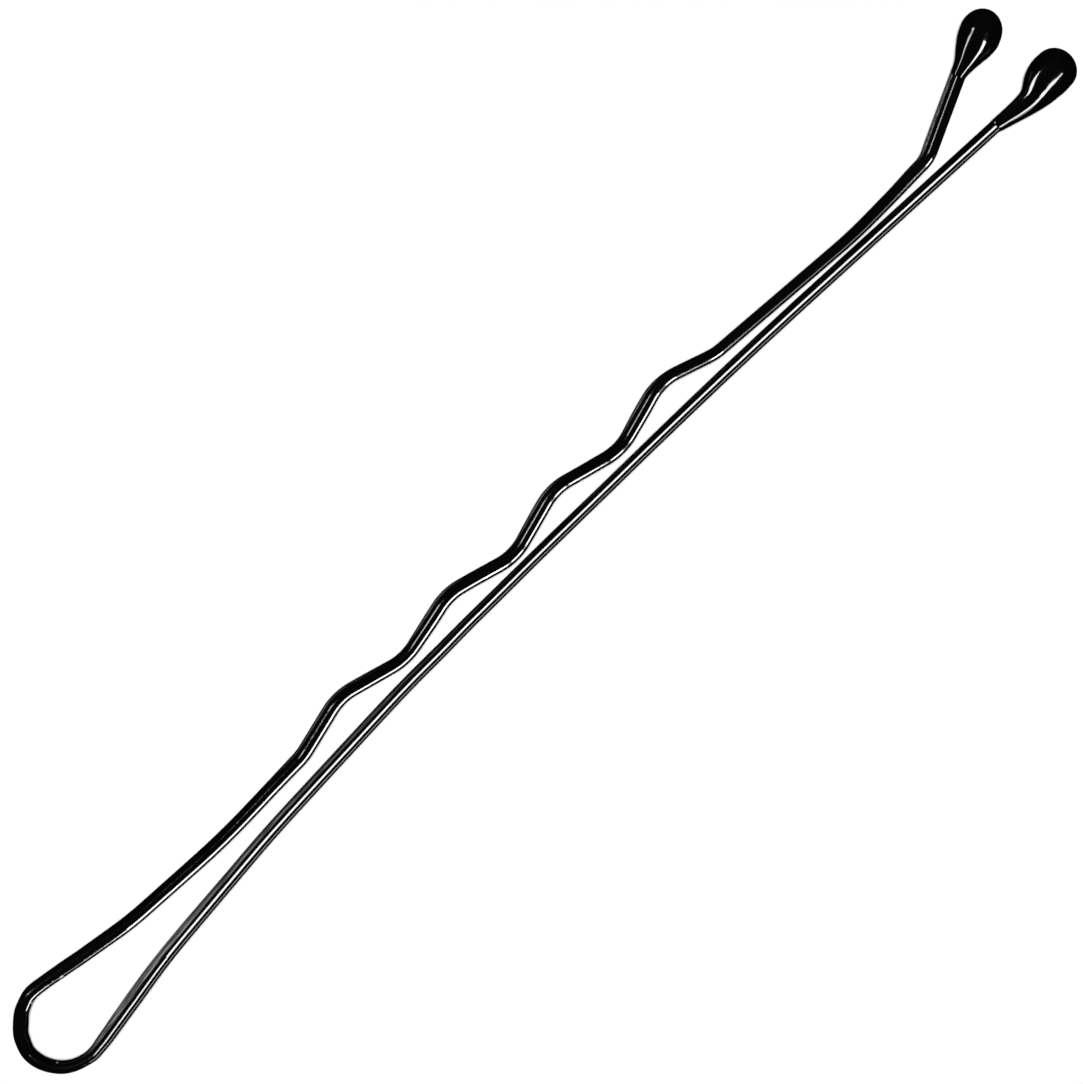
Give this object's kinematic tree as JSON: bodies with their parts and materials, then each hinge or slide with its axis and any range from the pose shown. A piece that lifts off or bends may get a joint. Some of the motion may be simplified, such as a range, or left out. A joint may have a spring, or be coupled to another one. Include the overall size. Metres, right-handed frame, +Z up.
{
  "type": "bobby pin",
  "caption": "Hairpin of flattened spring wire folded at a loop, with a straight leg, a waved gripping leg that flares at its tip, and resin bead ends.",
  "frame": {"origin": "centre of the loop's round inner wall, on the middle plane of the wire", "axes": "+X along the pin from the loop to the bead ends, +Y from the straight leg to the waved leg, +Z up off the surface that the pin lies on, along the loop's eye"},
  "size_m": [0.06, 0.0068, 0.0018],
  "materials": {
    "lacquered_wire": "black gloss lacquer on spring steel",
    "resin_bead": "black gloss dipped resin"
  },
  "bodies": {
    "loop": {"loop_bend": "lacquered_wire"},
    "straight_leg_shoulder": {"straight_leg_shoulder": "lacquered_wire"},
    "straight_leg_back": {"straight_leg_back": "lacquered_wire"},
    "straight_leg_middle": {"straight_leg_middle": "lacquered_wire"},
    "waved_leg_shoulder": {"waved_leg_shoulder": "lacquered_wire"},
    "waved_leg_first_wave": {"waved_leg_first_wave": "lacquered_wire"},
    "waved_leg_middle_waves": {"waved_leg_middle_waves": "lacquered_wire"},
    "straight_leg_front": {"straight_leg_front": "lacquered_wire", "straight_leg_bead": "resin_bead"},
    "waved_leg_grip": {"waved_leg_grip": "lacquered_wire", "waved_leg_bead": "resin_bead"}
  },
  "joints": [
    {"name": "legs_open", "type": "hinge", "parent": "loop", "child": "waved_leg_shoulder", "pos_m": [0.0022, 0.00151, 0], "axis": [0, 0, 1], "range_deg": [0, 3], "stiffness_Nm_per_rad": 0.025},
    {"name": "waved_leg_second_flex", "type": "hinge", "parent": "waved_leg_shoulder", "child": "waved_leg_first_wave", "pos_m": [0.00724, 0.00108, 0], "axis": [0, 0, 1], "range_deg": [0, 3], "stiffness_Nm_per_rad": 0.021},
    {"name": "waved_leg_third_flex", "type": "hinge", "parent": "waved_leg_first_wave", "child": "waved_leg_middle_waves", "pos_m": [0.01918, 0.00164, 0], "axis": [0, 0, 1], "range_deg": [0, 3], "stiffness_Nm_per_rad": 0.0165},
    {"name": "waved_leg_fourth_flex", "type": "hinge", "parent": "waved_leg_middle_waves", "child": "waved_leg_grip", "pos_m": [0.03159, 0.00186, 0], "axis": [0, 0, 1], "range_deg": [0, 3], "stiffness_Nm_per_rad": 0.007},
    {"name": "straight_leg_first_flex", "type": "hinge", "parent": "loop", "child": "straight_leg_shoulder", "pos_m": [0.0021, -0.00142, 0], "axis": [0, 0, -1], "range_deg": [0, 3], "stiffness_Nm_per_rad": 0.025},
    {"name": "straight_leg_second_flex", "type": "hinge", "parent": "straight_leg_shoulder", "child": "straight_leg_back", "pos_m": [0.00812, -0.0005, 0], "axis": [0, 0, -1], "range_deg": [0, 3], "stiffness_Nm_per_rad": 0.021},
    {"name": "straight_leg_third_flex", "type": "hinge", "parent": "straight_leg_back", "child": "straight_leg_middle", "pos_m": [0.01577, 0.00019, 0], "axis": [0, 0, -1], "range_deg": [0, 3], "stiffness_Nm_per_rad": 0.0165},
    {"name": "straight_leg_fourth_flex", "type": "hinge", "parent": "straight_leg_middle", "child": "straight_leg_front", "pos_m": [0.02912, 0.00067, 0], "axis": [0, 0, -1], "range_deg": [0, 3], "stiffness_Nm_per_rad": 0.007}
  ],
  "couplings": [
    {"joint": "waved_leg_second_flex", "follows": "legs_open", "ratio": 1},
    {"joint": "waved_leg_third_flex", "follows": "legs_open", "ratio": 1},
    {"joint": "waved_leg_fourth_flex", "follows": "legs_open", "ratio": 1},
    {"joint": "straight_leg_first_flex", "follows": "legs_open", "ratio": 1},
    {"joint": "straight_leg_second_flex", "follows": "legs_open", "ratio": 1},
    {"joint": "straight_leg_third_flex", "follows": "legs_open", "ratio": 1},
    {"joint": "straight_leg_fourth_flex", "follows": "legs_open", "ratio": 1}
  ]
}
